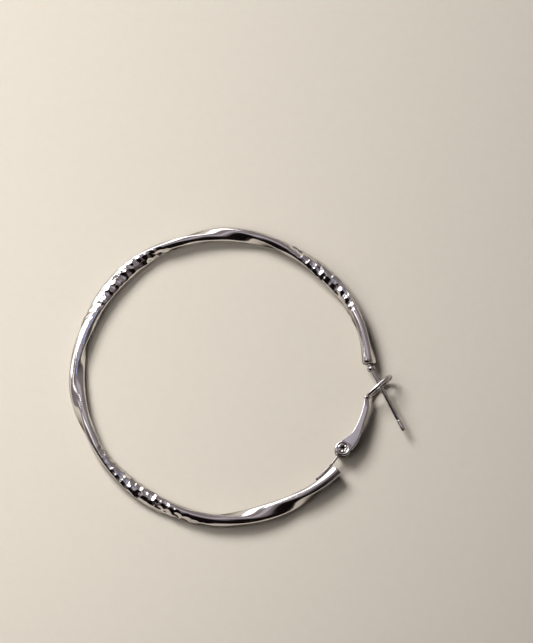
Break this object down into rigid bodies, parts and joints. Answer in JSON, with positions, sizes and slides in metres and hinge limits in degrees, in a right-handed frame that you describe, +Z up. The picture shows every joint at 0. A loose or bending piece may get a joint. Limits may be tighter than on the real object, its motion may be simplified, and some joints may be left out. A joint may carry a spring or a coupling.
{
  "type": "hoop earring",
  "caption": "Large polished hoop earring of a twisted flat bar with a hammered face, straight ear post and hinged lever whose wire ring closes over the post.",
  "frame": {"origin": "on the surface that the earring lies on, below the middle of its bounding box", "axes": "+Z up, +X from the middle of the hoop towards its clasp, +Y towards the post's end of the clasp"},
  "size_m": [0.0604, 0.0554, 0.0044],
  "materials": {
    "polished_silver": "mirror polished plating with hammered facets",
    "post_steel": "drawn and polished wire",
    "tongue_silver": "polished plating over a sawn strip",
    "pin_silver": "polished, rolled over by the rivet tool",
    "lever_silver": "polished plating on pressed sheet and wire"
  },
  "bodies": {
    "hoop": {"hoop": "polished_silver", "ear_post": "post_steel", "hinge_tongue": "tongue_silver", "hinge_pin": "pin_silver"},
    "lever": {"lever": "lever_silver"}
  },
  "joints": [
    {"name": "lever_hinge", "type": "hinge", "parent": "hoop", "child": "lever", "pos_m": [0.01891, -0.01357, 0.00204], "axis": [0.0156, 0.0051, -0.9999], "range_deg": [0, 90]}
  ]
}
